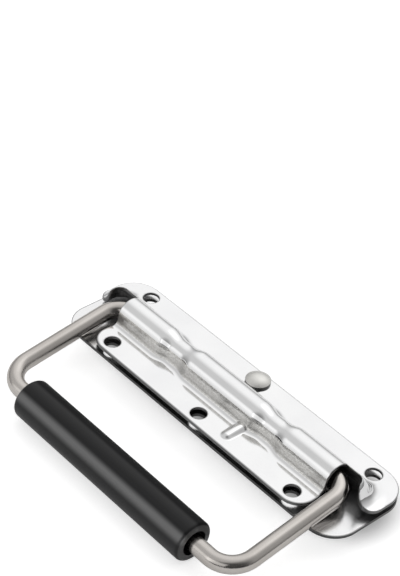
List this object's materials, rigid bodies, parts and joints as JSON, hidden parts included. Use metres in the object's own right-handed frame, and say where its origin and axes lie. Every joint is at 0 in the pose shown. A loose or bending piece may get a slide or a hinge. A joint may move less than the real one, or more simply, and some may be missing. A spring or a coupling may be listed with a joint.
{
  "type": "chest handle",
  "caption": "Spring-loaded chest handle: bent rod bail with a black grip, hinged in the pinched barrel of a polished sheet cover that is riveted to a flat back plate with screw holes.",
  "frame": {"origin": "middle of the back plate's mounting face, under the hinge axis", "axes": "+X along the hinge axis, +Z out of the chest wall, the lowered bail towards -Y"},
  "size_m": [0.144, 0.0802, 0.0212],
  "materials": {
    "polished_sheet": "mirror-polished stainless sheet",
    "rivet_metal": "satin",
    "satin_rod": "satin stainless rod",
    "grip_sleeve": "satin black vinyl",
    "spring_wire": "drawn spring wire"
  },
  "bodies": {
    "base": {"back_plate": "polished_sheet", "cover": "polished_sheet", "rivet": "rivet_metal", "torsion_spring": "spring_wire"},
    "handle": {"bail": "satin_rod", "grip": "grip_sleeve"}
  },
  "joints": [
    {"name": "bail_hinge", "type": "hinge", "parent": "base", "child": "handle", "pos_m": [0, 0, 0.0073], "axis": [-1, 0, 0], "range_deg": [0, 98.2], "stiffness_Nm_per_rad": 0.06, "springref_deg": -114.59, "deforming": ["torsion_spring"]}
  ]
}
